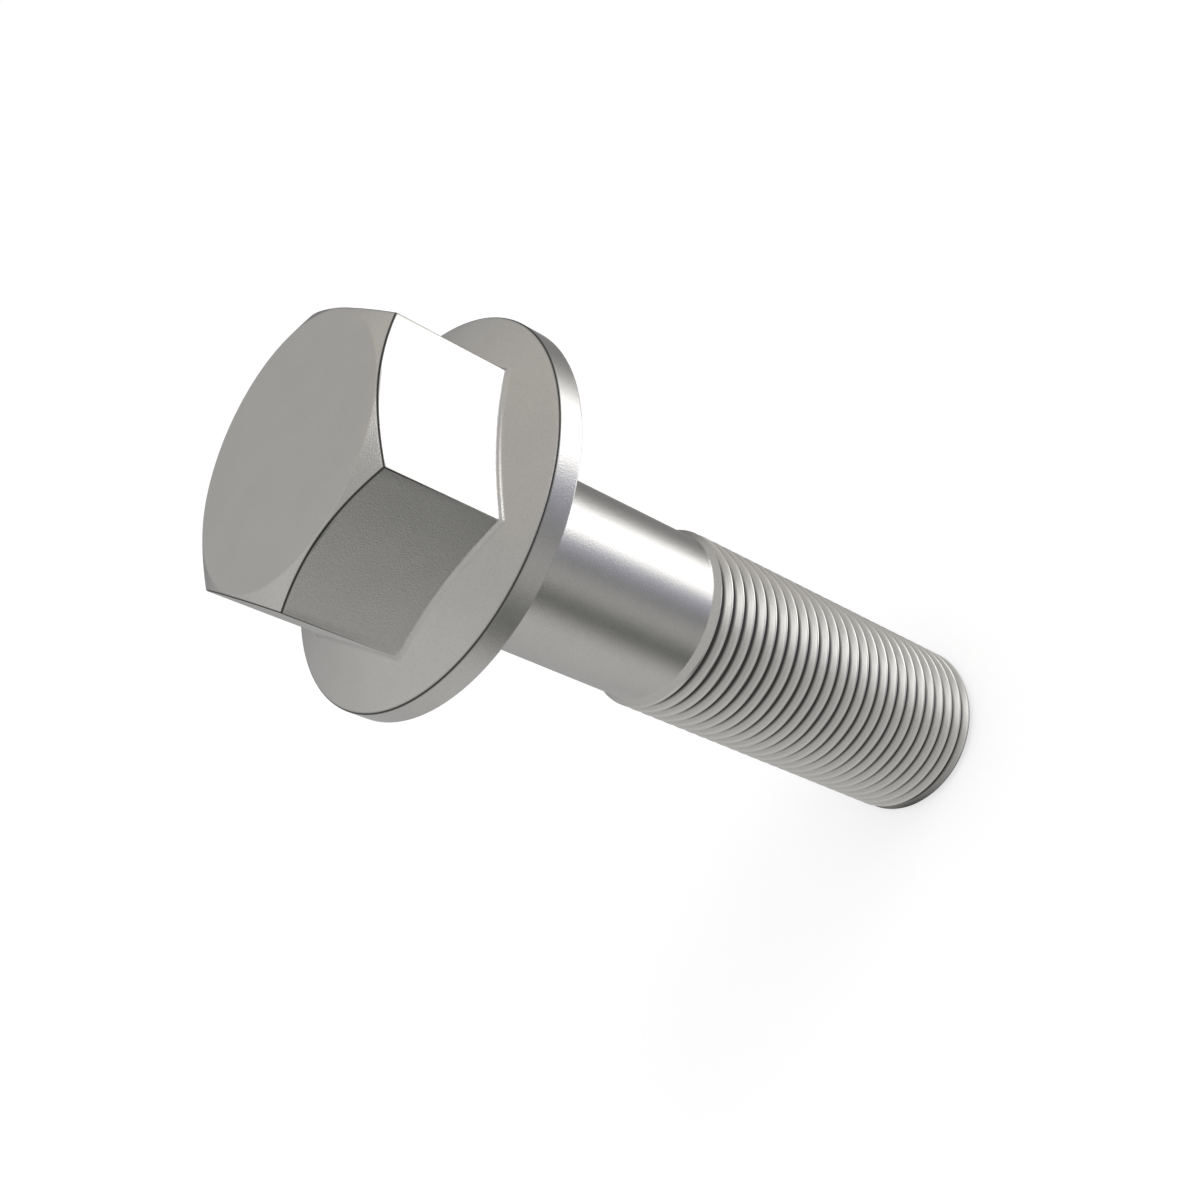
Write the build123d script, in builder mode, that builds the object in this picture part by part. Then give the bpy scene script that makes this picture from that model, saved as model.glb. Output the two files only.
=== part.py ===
from build123d import *

import os
from math import radians, sqrt, tan

# Flange bolt: hexagon head, conical flange, reduced shank and thread, forged in one piece.
# Millimetres. +Z runs from the thread end to the head, and the origin is the centre of
# the bearing face under the flange. The thread has its real diameter and pitch, but is drawn
# as closed rings with sharp crests, not as a helix, which keeps its faces few.

os.makedirs("parts", exist_ok=True)

# Hexagon head
hex_sides = 6
across_flats = 17.0
head_height = 10.85
chamfer_circle_d = 16.7
chamfer_angle = 30.0

# Flange
flange_d = 24.4
rim_height = 1.65
flange_angle = 18.0
edge_break = 0.15
foot_round = 0.4

# Shank and thread
length_under_head = 42.7
thread_length = 26.0
thread_d = 12.0
pitch = 1.0
shank_reduction = 0.75
under_head_round = 0.8
end_chamfer = 0.5

# Radii and slopes that follow from the sizes above
flange_r = flange_d / 2
chamfer_r = chamfer_circle_d / 2
thread_r = thread_d / 2
shank_r = (thread_d - shank_reduction) / 2
end_r = thread_r - end_chamfer
corner_r = across_flats / sqrt(3)
blank_r = flange_r + corner_r
clear_r = (flange_r + corner_r) / 2
flange_slope = tan(radians(flange_angle))
chamfer_slope = tan(radians(chamfer_angle))

# Levels that follow
apex_z = rim_height + flange_r * flange_slope
rim_break_z = rim_height - edge_break
thread_start_z = thread_length - length_under_head
run_in_end_z = thread_start_z - (thread_r - shank_r)
end_chamfer_z = end_chamfer - length_under_head

# Grooves of the thread, shared out evenly between a narrow full band at each of its ends,
# and as deep as the part of a 60 degree thread that carries a nut
groove_r = thread_r - 0.5413 * pitch
thread_run = run_in_end_z - end_chamfer_z
grooves = int(thread_run / pitch - 0.1)
end_band = (thread_run - grooves * pitch) / 2
thread_points = [(thread_r, end_chamfer_z), (thread_r, end_chamfer_z + end_band)]
for groove in range(grooves):
    groove_start_z = end_chamfer_z + end_band + groove * pitch
    thread_points.append((groove_r, groove_start_z + pitch / 2))
    thread_points.append((thread_r, groove_start_z + pitch))
thread_points.append((thread_r, run_in_end_z))

with BuildPart() as flange_bolt:
    # Round blank with the flange's cone on top, wide enough for the foot of the hexagon
    with BuildSketch(Plane.XZ):
        with BuildLine():
            Polyline(
                (0, -length_under_head),
                (blank_r, -length_under_head),
                (blank_r, apex_z - blank_r * flange_slope),
                (0, apex_z),
                close=True,
            )
        make_face()
    revolve(axis=Axis.Z)

    # Hexagon with two corners on the Y axis, and the small forged radius round its foot
    with BuildSketch(Plane.XY):
        RegularPolygon(corner_r, hex_sides, rotation=90)
    extrude(amount=head_height)
    foot_edges = flange_bolt.edges(Select.LAST).filter_by_position(Axis.Z, 0, apex_z)
    fillet(foot_edges, foot_round)

    # Turned outline from the thread end to the cone that takes the corners off the
    # hexagon: what stands outside it comes off, and the rim's edges are broken
    with BuildSketch(Plane.XZ) as turned:
        with BuildLine():
            Polyline(
                (0, -length_under_head),
                (end_r, -length_under_head),
                *thread_points,
                (shank_r, thread_start_z),
                (shank_r, 0),
                (flange_r - edge_break, 0),
                (flange_r, edge_break),
                (flange_r, rim_break_z),
                (clear_r, rim_break_z + flange_r - clear_r),
                (clear_r, head_height - (clear_r - chamfer_r) * chamfer_slope),
                (chamfer_r, head_height),
                (0, head_height),
                close=True,
            )
        make_face()
        fillet(turned.vertices().sort_by_distance((shank_r, 0))[0], under_head_round)
    revolve(axis=Axis.Z, mode=Mode.INTERSECT)

flange_bolt.part.label = "flange_bolt"
export_step(flange_bolt.part, "parts/flange_bolt.step")
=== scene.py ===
from math import atan2, cos, hypot, pi, radians, sin, sqrt, tan

import bmesh
import bpy
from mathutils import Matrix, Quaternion, Vector


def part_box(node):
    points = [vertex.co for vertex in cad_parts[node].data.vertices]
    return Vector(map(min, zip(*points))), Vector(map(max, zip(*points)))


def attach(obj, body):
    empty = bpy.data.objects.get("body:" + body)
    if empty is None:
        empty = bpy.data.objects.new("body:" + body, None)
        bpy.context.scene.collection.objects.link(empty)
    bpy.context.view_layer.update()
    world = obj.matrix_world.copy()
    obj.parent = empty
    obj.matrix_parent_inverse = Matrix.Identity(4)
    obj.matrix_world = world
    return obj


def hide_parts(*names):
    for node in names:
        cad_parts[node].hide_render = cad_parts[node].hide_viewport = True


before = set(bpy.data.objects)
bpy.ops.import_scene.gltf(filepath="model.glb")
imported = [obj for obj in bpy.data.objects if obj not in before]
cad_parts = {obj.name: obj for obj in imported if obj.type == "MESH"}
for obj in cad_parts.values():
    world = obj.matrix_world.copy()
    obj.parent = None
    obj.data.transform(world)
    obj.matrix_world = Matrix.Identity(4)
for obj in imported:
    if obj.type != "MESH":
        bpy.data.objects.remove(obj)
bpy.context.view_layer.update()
scene = bpy.context.scene
scene.view_settings.view_transform = "Standard"


# Flange bolt: one piece of alloy steel, its hexagon head and conical flange forged hot and
# trimmed, its shank turned, its thread rolled. The whole bolt is blasted with fine beads,
# which leaves a satin grain. It is built in millimetres and brought to metres at the end.
mm = 0.001
low_corner, high_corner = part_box("flange_bolt")
flange_r = high_corner.x / mm
head_top = high_corner.z / mm
tip_z = low_corner.z / mm

across_flats = 17.0
flat_d = across_flats / 2
first_corner = 30
sector_angle = 60
half_sector = radians(sector_angle / 2)
corner_d = flat_d / cos(half_sector)
corner_soft = 0.12
chamfer_r = 8.35
chamfer_angle = radians(30)
chamfer_slope = tan(chamfer_angle)

flange_angle = radians(18)
flange_slope = tan(flange_angle)
rim_height = 1.65
rim_soft = 0.16
foot_round = 0.4
cone_apex = rim_height + flange_r * flange_slope

shank_r = 5.625
under_head_round = 0.8
thread_r = 6.0
thread_length = 26.0
pitch = 1.0
end_chamfer = 0.5
turned_soft = 0.07
shank_end = tip_z + thread_length
run_in_end = shank_end - (thread_r - shank_r)
tip_start = tip_z + end_chamfer
tip_r = thread_r - end_chamfer

# How finely the soft edges and rounds are divided, and the rings of points in between, which
# keep the plain faces evenly shaded
corner_steps = 5
flat_steps = 19
turned_steps = 2
side_steps = 4
foot_steps = 6
rim_steps = 5
round_steps = 8
top_soft_share = 0.3
side_soft_share = 0.4
top_rings = (0.4 * chamfer_r, 0.8 * chamfer_r, chamfer_r - 0.2)
chamfer_shares = (0.15, 0.5, 0.85)
flat_margin = 0.15
flange_shares = (0.06, 0.3, 0.6, 0.9)
bearing_ring = 0.78 * flange_r
end_ring = 0.6 * tip_r
sector_steps = corner_steps + flat_steps
columns = 6 * sector_steps
column_turn = 2 * pi / columns


def column_angle(column):
    """Angle of a column on every round form, with a corner's middle column at its corner."""
    return radians(first_corner) + (column - corner_steps // 2) * column_turn


def hexagon_point(column, offset):
    """Point of the hexagon's outline, moved out by offset, and the way the outline faces."""
    sector, step = divmod(column, sector_steps)
    corner = radians(first_corner + sector_angle * sector)
    if step < corner_steps:
        facing = corner + radians(sector_angle / (corner_steps - 1)) * (step - corner_steps // 2)
        centre = (flat_d - corner_soft) / cos(half_sector)
        x = centre * cos(corner) + (corner_soft + offset) * cos(facing)
        y = centre * sin(corner) + (corner_soft + offset) * sin(facing)
        return x, y, facing
    facing = corner + half_sector
    half_width = (flat_d - corner_soft) * tan(half_sector)
    half_turn = atan2(half_width, flat_d)
    share = (step - corner_steps + 1) / (flat_steps + 1)
    along = flat_d * tan(half_turn * (2 * share - 1))
    distance = flat_d + offset
    x = distance * cos(facing) - along * sin(facing)
    y = distance * sin(facing) + along * cos(facing)
    return x, y, facing


def bend(start, corner, end, steps):
    """Points of a soft bend that leaves start and reaches end, with the sharp corner given."""
    points = []
    for step in range(steps + 1):
        t = step / steps
        inner = [(1 - t) * a + t * b for a, b in zip(start, corner)]
        outer = [(1 - t) * a + t * b for a, b in zip(corner, end)]
        points.append([(1 - t) * a + t * b for a, b in zip(inner, outer)])
    return points


def head_column(column):
    """One column of the head from its top to the flange's rim, as points in space."""
    x, y, facing = hexagon_point(column, 0)
    out = hypot(x, y)
    ray = atan2(y, x)

    # Flat top, the cone that takes the corners off, and the upper part of the flat. The cone is
    # narrow in the middle of a flat, so its soft edges take only a share of it there.
    edge_z = head_top - (out - chamfer_r) * chamfer_slope
    cone_width = (out - chamfer_r) / cos(chamfer_angle)
    cone_way = (cos(chamfer_angle), -sin(chamfer_angle))
    soft_top = min(turned_soft, top_soft_share * cone_width)
    soft_side = min(corner_soft, side_soft_share * cone_width)
    profile = [(r, head_top) for r in top_rings]
    profile += bend(
        (chamfer_r - soft_top, head_top),
        (chamfer_r, head_top),
        (chamfer_r + soft_top * cone_way[0], head_top + soft_top * cone_way[1]),
        turned_steps,
    )
    for share in chamfer_shares:
        along = soft_top + share * (cone_width - soft_top - soft_side)
        profile.append((chamfer_r + along * cone_way[0], head_top + along * cone_way[1]))
    profile += bend(
        (out - soft_side * cone_way[0], edge_z - soft_side * cone_way[1]),
        (out, edge_z),
        (out, edge_z - soft_side),
        side_steps,
    )
    profile.append((out, edge_z - soft_side - flat_margin))
    points = [(r * cos(ray), r * sin(ray), z) for r, z in profile]

    # Forged round where the flat meets the flange, whose cone stands higher against the middle
    # of a flat than at the corners
    slope = flange_slope * cos(facing - ray)
    tilt = atan2(slope, 1)
    wall_z = cone_apex - flange_slope * out
    centre_z = wall_z - slope * foot_round + foot_round * sqrt(1 + slope * slope)
    points.append((x, y, centre_z + flat_margin))
    for step in range(foot_steps + 1):
        turn = pi + (pi / 2 - tilt) * step / foot_steps
        offset = foot_round + foot_round * cos(turn)
        x, y, facing = hexagon_point(column, offset)
        points.append((x, y, centre_z + foot_round * sin(turn)))
    foot_x, foot_y = points[-1][:2]
    points[-1] = (foot_x, foot_y, cone_apex - flange_slope * hypot(foot_x, foot_y))

    # The flange's cone, out to the soft edge of its rim
    ray = column_angle(column)
    rim_start = flange_r - rim_soft * cos(flange_angle)
    for t in flange_shares:
        x = (1 - t) * foot_x + t * rim_start * cos(ray)
        y = (1 - t) * foot_y + t * rim_start * sin(ray)
        points.append((x, y, cone_apex - flange_slope * hypot(x, y)))
    return points


def turned_profile():
    """Radius and height of every turned form, from the flange's rim to the tip."""
    rim_start = flange_r - rim_soft * cos(flange_angle)
    profile = bend(
        (rim_start, rim_height + rim_soft * sin(flange_angle)),
        (flange_r, rim_height),
        (flange_r, rim_height - rim_soft),
        rim_steps,
    )
    profile += bend((flange_r, rim_soft), (flange_r, 0), (flange_r - rim_soft, 0), rim_steps)
    profile += [(bearing_ring, 0)]
    round_r = shank_r + under_head_round
    for step in range(round_steps + 1):
        turn = pi / 2 + pi / 2 * step / round_steps
        profile.append((round_r + under_head_round * cos(turn), under_head_round * (sin(turn) - 1)))
    leg = turned_soft * sqrt(0.5)
    profile += bend(
        (shank_r, shank_end + turned_soft),
        (shank_r, shank_end),
        (shank_r + leg, shank_end - leg),
        turned_steps,
    )
    profile += bend(
        (thread_r - leg, run_in_end + leg),
        (thread_r, run_in_end),
        (thread_r, run_in_end - turned_soft),
        turned_steps,
    )
    profile += bend(
        (thread_r, tip_start + turned_soft),
        (thread_r, tip_start),
        (thread_r - leg, tip_start - leg),
        turned_steps,
    )
    profile += bend(
        (tip_r + leg, tip_z + leg),
        (tip_r, tip_z),
        (tip_r - turned_soft, tip_z),
        turned_steps,
    )
    profile += [(end_ring, tip_z)]
    return profile


def closed_mesh(name, rings, first_pole, last_pole):
    """Closed mesh from rings of equal length, each end closed by a fan to a single point."""
    points = [first_pole] + [point for ring in rings for point in ring] + [last_pole]
    count = len(rings[0])
    last_ring = 1 + (len(rings) - 1) * count
    faces = []
    for index in range(count):
        after = (index + 1) % count
        faces.append((0, 1 + index, 1 + after))
        faces.append((len(points) - 1, last_ring + after, last_ring + index))
        for row in range(len(rings) - 1):
            above = 1 + row * count
            below = above + count
            faces.append((above + index, below + index, below + after, above + after))
    mesh = bpy.data.meshes.new(name)
    mesh.from_pydata(points, [], faces)
    return mesh


turned = turned_profile()
bolt_columns = []
for column in range(columns):
    ray = column_angle(column)
    round_points = [(r * cos(ray), r * sin(ray), z) for r, z in turned]
    bolt_columns.append(head_column(column) + round_points)
bolt_rings = list(zip(*bolt_columns))
blank_mesh = closed_mesh("bolt_blank", bolt_rings, (0, 0, head_top), (0, 0, tip_z))
bolt = bpy.data.objects.new("flange_bolt_steel", blank_mesh)
scene.collection.objects.link(bolt)

# The groove that rolling presses in: 60 degrees between its flanks, a rounded root, broken
# edges at the crest, and a depth that grows over the first part turn behind the run-in. It is
# cut by a closed form that reaches a little past the crests and runs out below the tip.
flank_angle = radians(30)
bevel_angle = radians(60)
crest_width = pitch / 8
crest_bevel = 0.03 * pitch
root_round = 0.08 * pitch
root_turns = (radians(60), radians(30))
half_mouth = (pitch - crest_width) / 2
groove_depth = half_mouth / tan(flank_angle) - root_round
root_r = thread_r - groove_depth
past_crest = 0.01
overshoot = 0.08
bevel_in = half_mouth - crest_bevel * tan(flank_angle)
bevel_out = bevel_in + (crest_bevel + past_crest) * tan(bevel_angle)

# At the first heading, which faces the camera, the groove's edge is one crest's width below
# the run-in. The groove starts behind the bolt.
first_heading = radians(262.5)
first_z = run_in_end - crest_width / 2 - pitch / 2
groove_start = first_heading + radians(185)
groove_rise = radians(150)
start_clearance = 0.06
spare_turns = 3
groove_turns = int((first_z - tip_z) / pitch) + spare_turns

half_section = [
    (thread_r + overshoot, bevel_out),
    (thread_r + past_crest, bevel_out),
    (thread_r - crest_bevel, bevel_in),
]
for turn in root_turns:
    half_section.append((root_r + root_round * (1 - cos(turn)), root_round * sin(turn)))
groove_section = half_section + [(root_r, 0)] + [(r, -z) for r, z in reversed(half_section)]

groove_rings = []
for station in range(groove_turns * columns):
    back = (station + 0.5) * column_turn
    angle = groove_start - back
    middle_z = first_z + pitch * (angle - first_heading) / (2 * pi)
    grown = min(1, back / groove_rise)
    lift = (groove_depth + start_clearance) * (1 - sin(grown * pi / 2))
    ring = []
    for r, z in groove_section:
        ring.append(((r + lift) * cos(angle), (r + lift) * sin(angle), middle_z + z))
    groove_rings.append(ring)


def middle_of(ring):
    """Middle point of a ring of points."""
    return tuple(sum(values) / len(ring) for values in zip(*ring))


groove_mesh = closed_mesh(
    "thread_groove", groove_rings, middle_of(groove_rings[0]), middle_of(groove_rings[-1])
)
groove = bpy.data.objects.new("thread_groove", groove_mesh)
scene.collection.objects.link(groove)
for mesh in (blank_mesh, groove_mesh):
    work = bmesh.new()
    work.from_mesh(mesh)
    bmesh.ops.recalc_face_normals(work, faces=work.faces)
    work.to_mesh(mesh)
    work.free()

cut = bolt.modifiers.new("cut_groove", "BOOLEAN")
cut.operation = "DIFFERENCE"
cut.solver = "MANIFOLD"
cut.object = groove
bpy.context.view_layer.update()
cut_bolt = bolt.evaluated_get(bpy.context.evaluated_depsgraph_get())
bolt_mesh = bpy.data.meshes.new_from_object(cut_bolt)
bolt.modifiers.clear()
bolt.data = bolt_mesh
bolt_mesh.name = "flange_bolt_steel"
bpy.data.objects.remove(groove)
bpy.data.meshes.remove(groove_mesh)
bpy.data.meshes.remove(blank_mesh)

# Crumbs of the cut are welded, and the mesh goes to metres. Edges that turn by more than the
# sharp angle stay sharp, such as those between a flank and its broken edge, which turn by 30
# degrees.
weld_distance = 0.0005
sharp_angle = radians(28)
work = bmesh.new()
work.from_mesh(bolt_mesh)
bmesh.ops.remove_doubles(work, verts=work.verts, dist=weld_distance)
bmesh.ops.dissolve_degenerate(work, edges=work.edges, dist=weld_distance)
bmesh.ops.scale(work, verts=work.verts, vec=(mm, mm, mm))
for face in work.faces:
    face.smooth = True
for edge in work.edges:
    edge.smooth = len(edge.link_faces) == 2 and edge.calc_face_angle() < sharp_angle
work.to_mesh(bolt_mesh)
work.free()

# The beads round the sharp edges over. Along them runs a painted shade line that stands for the
# shade on the
# rounded edges: on the corners of the head, on the curves where its flats meet the chamfer, on the
# flange's upper edge and round the tip, whose chamfer is painted darker as shade too. Each line
# fades out over its reach.
corner_reach = 0.08
corner_fade = 0.6
corner_foot_z = cone_apex - flange_slope * corner_d + foot_round
curve_reach = 0.11
rim_reach = 0.12
tip_reach = 0.16
tip_strength = 0.65
tip_chamfer_reach = 0.1
tip_chamfer_strength = 0.4


def painted_edge_shade(distance, reach):
    """Strength of an edge's painted shade line at a distance from it."""
    return max(0, 1 - distance / reach)


def painted_edge_shade_at(x, y, z):
    """Strongest painted shade line at a point of the bolt, from 0 to 1."""
    r = hypot(x, y)
    rim_line = painted_edge_shade(hypot(r - flange_r, z - rim_height), rim_reach)
    tip_line = tip_strength * painted_edge_shade(hypot(r - thread_r, z - tip_start), tip_reach)
    tip_chamfer_shade = 0
    if z < tip_start:
        off_chamfer = abs((r - thread_r) - (z - tip_start))
        tip_chamfer_shade = tip_chamfer_strength * painted_edge_shade(off_chamfer, tip_chamfer_reach)

    turn = (atan2(y, x) - radians(first_corner)) % radians(sector_angle)
    from_corner = min(turn, radians(sector_angle) - turn)
    corner_out = r * cos(from_corner) - corner_d
    fade = min(1, max(0, (z - corner_foot_z) / corner_fade))
    corner_line = fade * painted_edge_shade(hypot(corner_out, r * sin(from_corner)), corner_reach)
    outline_r = flat_d / cos(half_sector - from_corner)
    curve_z = head_top - (outline_r - chamfer_r) * chamfer_slope
    curve_line = painted_edge_shade(hypot(r - outline_r, z - curve_z), curve_reach)
    return max(rim_line, tip_line, tip_chamfer_shade, corner_line, curve_line)


# Painted shade along the edges and on the tip's chamfer, kept on each point for the material to
# darken the steel
edge_shade_values = [painted_edge_shade_at(*(value / mm for value in point.co)) for point in bolt_mesh.vertices]
bolt_mesh.attributes.new("painted_edge_shade", "FLOAT", "POINT").data.foreach_set("value", edge_shade_values)
large_face_weight = 80
weighted = bolt.modifiers.new("even_shading", "WEIGHTED_NORMAL")
weighted.keep_sharp = True
weighted.weight = large_face_weight
bpy.context.view_layer.update()
shaded_bolt = bolt.evaluated_get(bpy.context.evaluated_depsgraph_get())
bolt.data = bpy.data.meshes.new_from_object(shaded_bolt)
bolt.modifiers.clear()
bpy.data.meshes.remove(bolt_mesh)


class Wire:
    """A socket of a tree of nodes that can be used in sums and comparisons."""

    def __init__(self, tree, socket):
        self.tree = tree
        self.socket = socket

    def maths(self, operation, first, second):
        """Result of a Math node on two wires or numbers."""
        return node(self.tree, "ShaderNodeMath", {"operation": operation}, {0: first, 1: second})

    def __add__(self, other):
        return self.maths("ADD", self, other)

    def __radd__(self, other):
        return self.maths("ADD", other, self)

    def __sub__(self, other):
        return self.maths("SUBTRACT", self, other)

    def __rsub__(self, other):
        return self.maths("SUBTRACT", other, self)

    def __mul__(self, other):
        return self.maths("MULTIPLY", self, other)

    def __rmul__(self, other):
        return self.maths("MULTIPLY", other, self)

    def __truediv__(self, other):
        return self.maths("DIVIDE", self, other)

    def __lt__(self, other):
        return self.maths("LESS_THAN", self, other)

    def __gt__(self, other):
        return self.maths("GREATER_THAN", self, other)

    def held(self, least, most):
        """The same value, but never under least or over most."""
        return self.maths("MINIMUM", self.maths("MAXIMUM", self, least), most)


def node(tree, kind, settings, inputs, output=0):
    """Add a node, set it up, fill or link its sockets, and give back one of its outputs."""
    made = tree.nodes.new(kind)
    for name, value in settings.items():
        setattr(made, name, value)
    for name, value in inputs.items():
        if isinstance(value, Wire):
            tree.links.new(value.socket, made.inputs[name])
        else:
            made.inputs[name].default_value = value
    return Wire(tree, made.outputs[output]) if made.outputs else None


def noise(place, size, detail, roughness):
    """Noise around one half, in lumps of about the size given."""
    sockets = {"Vector": place, "Scale": 1 / size, "Detail": detail, "Roughness": roughness}
    return node(place.tree, "ShaderNodeTexNoise", {}, sockets)


def mixed_colour(share, first, second):
    """Colour that goes from the first to the second with a share from 0 to 1."""
    sockets = {0: share, 6: first, 7: second}
    return node(share.tree, "ShaderNodeMix", {"data_type": "RGBA"}, sockets, 2)


def new_material(name):
    """Material with no nodes yet, and its tree."""
    material = bpy.data.materials.new(name)
    material.use_nodes = True
    material.node_tree.nodes.clear()
    return material, material.node_tree


# Satin steel. Its least roughness is the one from which the render's noise filter still
# follows the grain.
steel_light = (0.40, 0.393, 0.377, 1)
steel_shade = (0.325, 0.319, 0.306, 1)
# Lighter steel for the thread's crests: rubbed bright, and a painted highlight
steel_rubbed_and_highlit = (0.43, 0.423, 0.406, 1)
# Near-black steel for the painted shade along the edges and in the thread's grooves
steel_painted_shade = (0.030, 0.030, 0.029, 1)
steel_edge_tint = (0.66, 0.66, 0.67, 1)
grain_size = 0.07 * mm
grain_relief = 0.011 * mm
grain_contrast = 1.6
blotch_size = 3.0 * mm
blotch_contrast = 0.5
least_roughness = 0.2745
roughness_spread = 0.012
painted_shade_roughness = 0.2

steel, tree = new_material("satin_steel")
place = node(tree, "ShaderNodeTexCoord", {}, {}, "Object")
grain = noise(place, grain_size, detail=1.0, roughness=0.5)
blotch = noise(place, blotch_size, detail=3.0, roughness=0.55)
tone = (0.5 + blotch_contrast * (blotch - 0.5) + grain_contrast * (grain - 0.5)).held(0, 1)
clean_steel = mixed_colour(tone, steel_shade, steel_light)

# The thread's crests are painted lighter, a painted highlight on steel that is also rubbed bright,
# and the flanks and bottoms of its grooves are painted darker, as painted shade. Depths are under
# the crests.
crest_reach = 0.16
flank_top = 0.06
flank_reach = 0.24
root_top = 0.30
root_reach = 0.16
end_margin = 0.05
edge_shade_strength = 1.8
flank_painted_shade = 0.10
root_painted_shade = 0.88

across = node(
    tree, "ShaderNodeVectorMath", {"operation": "MULTIPLY"}, {0: place, 1: (1, 1, 0)}
)
radius = node(tree, "ShaderNodeVectorMath", {"operation": "LENGTH"}, {0: across}, "Value")
height = node(tree, "ShaderNodeSeparateXYZ", {}, {0: place}, "Z")
thread_only = (height < run_in_end * mm) * (height > (tip_z + end_margin) * mm)
depth = thread_r - radius / mm
on_crest = 1 - (depth / crest_reach).held(0, 1)
on_flank = ((depth - flank_top) / flank_reach).held(0, 1)
in_root = ((depth - root_top) / root_reach).held(0, 1)
rubbed_and_highlit_steel = mixed_colour(on_crest * thread_only, clean_steel, steel_rubbed_and_highlit)
# Painted shade: the edge lines and the grooves' flanks and bottoms are mixed towards the near-black
# steel
edge = node(tree, "ShaderNodeAttribute", {"attribute_name": "painted_edge_shade"}, {}, "Fac")
groove_painted_shade = (flank_painted_shade * on_flank + root_painted_shade * in_root) * thread_only
painted_shade_share = (edge_shade_strength * edge + groove_painted_shade).held(0, 1)
spread = roughness_spread * blotch + roughness_spread * grain
bump = node(
    tree,
    "ShaderNodeBump",
    {},
    {"Height": grain, "Strength": 1.0, "Distance": grain_relief},
)
surface = node(
    tree,
    "ShaderNodeBsdfPrincipled",
    {},
    {
        "Base Color": mixed_colour(painted_shade_share, rubbed_and_highlit_steel, steel_painted_shade),
        "Metallic": 1.0,
        "Roughness": least_roughness + spread + painted_shade_roughness * painted_shade_share,
        "Specular Tint": steel_edge_tint,
        "Normal": bump,
    },
)
node(tree, "ShaderNodeOutputMaterial", {}, {"Surface": surface})
bolt.data.materials.clear()
bolt.data.materials.append(steel)

# The photograph's reflections hold the surroundings alone, so the bolt doesn't reflect itself.
bolt.visible_glossy = False
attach(bolt, "root")
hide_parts("flange_bolt")


# Floor: a plain white studio sheet that the bolt stands on. It takes the soft shadow, and
# what the camera and the metal see of it is lifted to the same white as the backdrop.
floor_half = 3.0
floor_z = low_corner.z
floor_lift = 0.62
floor_grey = (0.55, 0.55, 0.55, 1)


def seen_rays(tree):
    """One for rays from the camera, from a reflection or through glass, and otherwise zero."""
    camera_ray = node(tree, "ShaderNodeLightPath", {}, {}, "Is Camera Ray")
    glossy_ray = node(tree, "ShaderNodeLightPath", {}, {}, "Is Glossy Ray")
    clear_ray = node(tree, "ShaderNodeLightPath", {}, {}, "Is Transmission Ray")
    return camera_ray + glossy_ray + clear_ray


floor_corners = ((-1, -1), (1, -1), (1, 1), (-1, 1))
floor_points = [(floor_half * x, floor_half * y, floor_z) for x, y in floor_corners]
floor_mesh = bpy.data.meshes.new("studio_floor")
floor_mesh.from_pydata(floor_points, [], [(0, 1, 2, 3)])
floor = bpy.data.objects.new("studio_floor", floor_mesh)
scene.collection.objects.link(floor)
floor_paint, tree = new_material("floor_white")
lifted = node(tree, "ShaderNodeEmission", {}, {"Strength": floor_lift * seen_rays(tree)})
paint = node(tree, "ShaderNodeBsdfDiffuse", {}, {"Color": floor_grey})
both = node(tree, "ShaderNodeAddShader", {}, {0: lifted, 1: paint})
node(tree, "ShaderNodeOutputMaterial", {}, {"Surface": both})
floor_mesh.materials.append(floor_paint)


# Studio walls: white paper all round, evenly lit, which the world stands for. What the camera
# and the metal see of it is plain white.
wall_light = 0.7
wall_lift = 0.3
world = bpy.data.worlds.new("studio_white")
world.use_nodes = True
world.node_tree.nodes.clear()
tree = world.node_tree
level = wall_light + wall_lift * seen_rays(tree)
walls = node(tree, "ShaderNodeBackground", {}, {"Color": (1, 1, 1, 1), "Strength": level})
node(tree, "ShaderNodeOutputWorld", {}, {"Surface": walls})
scene.world = world


# Studio cards: paper flags and light panels with soft edges, some on the floor and some hung
# high, for the metal to reflect. Only reflections see them. Headings, heights and widths are
# in degrees round the bolt.
middle_of_bolt = (low_corner + high_corner) / 2
white = (1.0, 1.0, 1.0, 1)
low_card_radii = (9, 30, 90, 300, 1000, 2800)
low_card_steps = 24
high_card_sides = 32


def direction(heading, height):
    """Unit vector from the bolt towards a heading and a height, both in degrees."""
    level = cos(radians(height))
    return Vector(
        (level * cos(radians(heading)), level * sin(radians(heading)), sin(radians(height)))
    )


def soft_card(name, points, faces, cover, colour, strength):
    """A card that only the metal's reflections see, shown as far as each point's cover says."""
    mesh = bpy.data.meshes.new(name)
    mesh.from_pydata(points, [], faces)
    mesh.attributes.new("cover", "FLOAT", "POINT").data.foreach_set("value", cover)
    card = bpy.data.objects.new(name, mesh)
    scene.collection.objects.link(card)
    material, tree = new_material(name)
    shown = node(tree, "ShaderNodeAttribute", {"attribute_name": "cover"}, {}, "Fac")
    clear = node(tree, "ShaderNodeBsdfTransparent", {}, {})
    glow = node(tree, "ShaderNodeEmission", {}, {"Color": colour, "Strength": strength})
    faded = node(tree, "ShaderNodeMixShader", {}, {0: shown, 1: clear, 2: glow})
    node(tree, "ShaderNodeOutputMaterial", {}, {"Surface": faded})
    mesh.materials.append(material)
    card.visible_camera = False
    card.visible_diffuse = False
    card.visible_transmission = False
    card.visible_shadow = False


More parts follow.
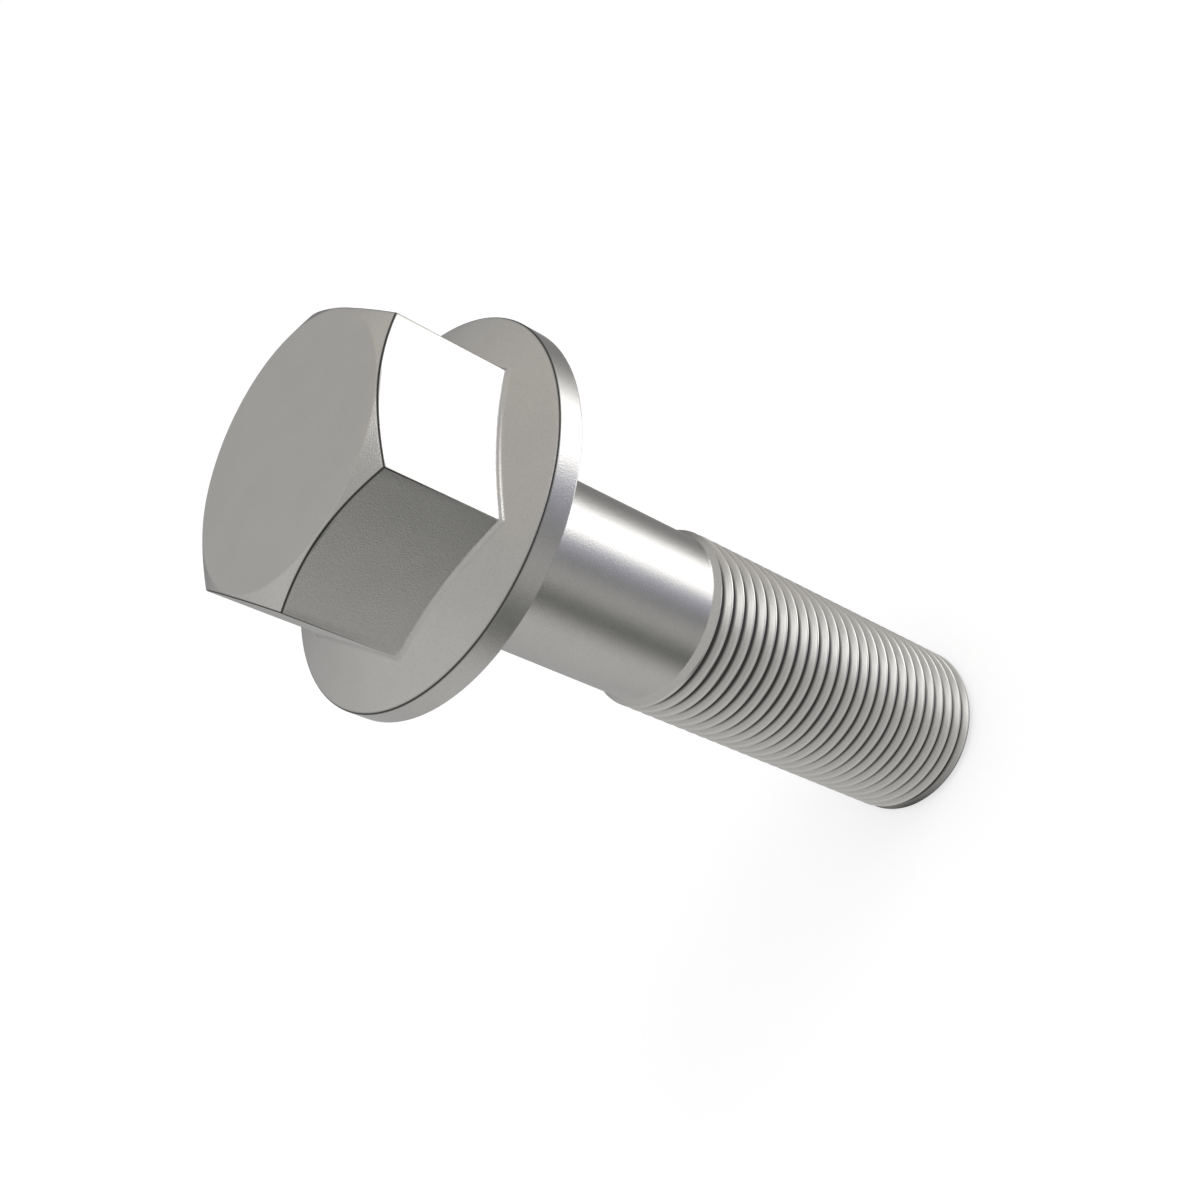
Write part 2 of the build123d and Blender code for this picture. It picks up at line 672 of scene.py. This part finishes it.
def low_card(name, heading, half_width, soft, colour, strength, above):
    """A card a few tenths of a millimetre above the floor that widens away from the bolt."""
    card_z = floor_z + above * mm
    reach = half_width + soft
    rows = len(low_card_radii)
    points = []
    cover = []
    for step in range(low_card_steps + 1):
        offset = (2 * step / low_card_steps - 1) * reach
        angle = radians(heading + offset)
        share = min(1, max(0, (reach - abs(offset)) / (2 * soft)))
        for radius in low_card_radii:
            r = radius * mm
            points.append((r * cos(angle), r * sin(angle), card_z))
            cover.append(share * share * (3 - 2 * share))
    faces = []
    for step in range(low_card_steps):
        for row in range(rows - 1):
            near = step * rows + row
            faces.append((near, near + 1, near + rows + 1, near + rows))
    soft_card(name, points, faces, cover, colour, strength)


low_card(
    "dim_behind", heading=92, half_width=16, soft=18,
    colour=(1.0, 1.0, 0.98, 1), strength=0.42, above=0.3,
)
low_card(
    "dim_front", heading=256, half_width=46, soft=12,
    colour=white, strength=0.80, above=0.3,
)
low_card(
    "flag_left", heading=231, half_width=13, soft=10,
    colour=(0.97, 1.0, 0.98, 1), strength=0.23, above=0.4,
)
low_card(
    "flag_front", heading=283, half_width=9, soft=9,
    colour=(0.95, 0.96, 1.0, 1), strength=0.41, above=0.4,
)
low_card(
    "flag_right", heading=42, half_width=32, soft=11,
    colour=(1.0, 0.99, 0.97, 1), strength=0.49, above=0.4,
)
low_card(
    "flag_behind", heading=68, half_width=9, soft=9,
    colour=(1.0, 0.99, 0.97, 1), strength=0.24, above=0.5,
)
low_card(
    "blue_card", heading=302, half_width=10, soft=8,
    colour=(0.76, 0.78, 1.0, 1), strength=0.86, above=0.5,
)
low_card(
    "panel_right", heading=335.1, half_width=20.6, soft=7,
    colour=(0.99, 0.99, 1.0, 1), strength=4.0, above=0.6,
)


def high_card(name, heading, height, half_width, soft, colour, strength, distance):
    """A round card that faces the bolt from a distance in metres, soft at its rim."""
    way = direction(heading, height)
    aside = way.orthogonal().normalized()
    ahead = way.cross(aside)
    points = [middle_of_bolt + distance * way]
    cover = [1.0]
    faces = []
    for ring, off in enumerate((half_width - soft, half_width, half_width + soft)):
        spread = distance * tan(radians(off))
        outer = 1 + ring * high_card_sides
        inner = outer - high_card_sides
        for side in range(high_card_sides):
            turn = 2 * pi * side / high_card_sides
            points.append(points[0] + spread * (cos(turn) * aside + sin(turn) * ahead))
            cover.append(1 - ring / 2)
            after = (side + 1) % high_card_sides
            if ring == 0:
                faces.append((0, outer + side, outer + after))
            else:
                faces.append((inner + side, outer + side, outer + after, inner + after))
    soft_card(name, points, faces, cover, colour, strength)


high_card(
    "flag_high", heading=250, height=84, half_width=15, soft=5,
    colour=white, strength=0.80, distance=0.5,
)
high_card(
    "glow_left", heading=130, height=44, half_width=18, soft=8,
    colour=white, strength=1.17, distance=0.5,
)
high_card(
    "glow_right", heading=34, height=33, half_width=13, soft=8,
    colour=(1.0, 0.965, 0.915, 1), strength=1.17, distance=0.5,
)
high_card(
    "warm_wall", heading=50, height=46, half_width=25, soft=11,
    colour=(1.0, 0.955, 0.915, 1), strength=1.0, distance=0.6,
)


# Soft box: a square lamp high on the camera's right. The thread's upper flanks and the chamfer
# of the head catch it, and it adds to the light on the floor.
box_size = 0.12
box_distance = 0.35
box_brightness = 3.0
box_heading = 339
box_height = 59
box_way = direction(box_heading, box_height)
lamp = bpy.data.lights.new("soft_box_high", "AREA")
lamp.shape = "SQUARE"
lamp.size = box_size
lamp.energy = box_brightness * pi * box_size * box_size
soft_box = bpy.data.objects.new("soft_box_high", lamp)
soft_box.location = middle_of_bolt + box_distance * box_way
soft_box.rotation_euler = (-box_way).to_track_quat("-Z", "Y").to_euler()
scene.collection.objects.link(soft_box)


# Camera: close to the head and a little above it, and rolled, so that the bolt lies across the
# frame with its head to the left. Its place and lens were fitted to the bolt's measured points.
camera_at = Vector((-11.089, -84.703, 49.470)) * mm
looked_at = Vector((-0.486, -0.416, -12.243)) * mm
roll = radians(65.869)
camera_data = bpy.data.cameras.new("camera")
camera_data.sensor_width = 36.0
camera_data.lens = 50.70
camera_data.clip_start = 0.005
camera = bpy.data.objects.new("camera", camera_data)
aim = (looked_at - camera_at).to_track_quat("-Z", "Y")
camera.location = camera_at
camera.rotation_mode = "QUATERNION"
camera.rotation_quaternion = aim @ Quaternion((0, 0, 1), -roll)
scene.collection.objects.link(camera)
scene.camera = camera
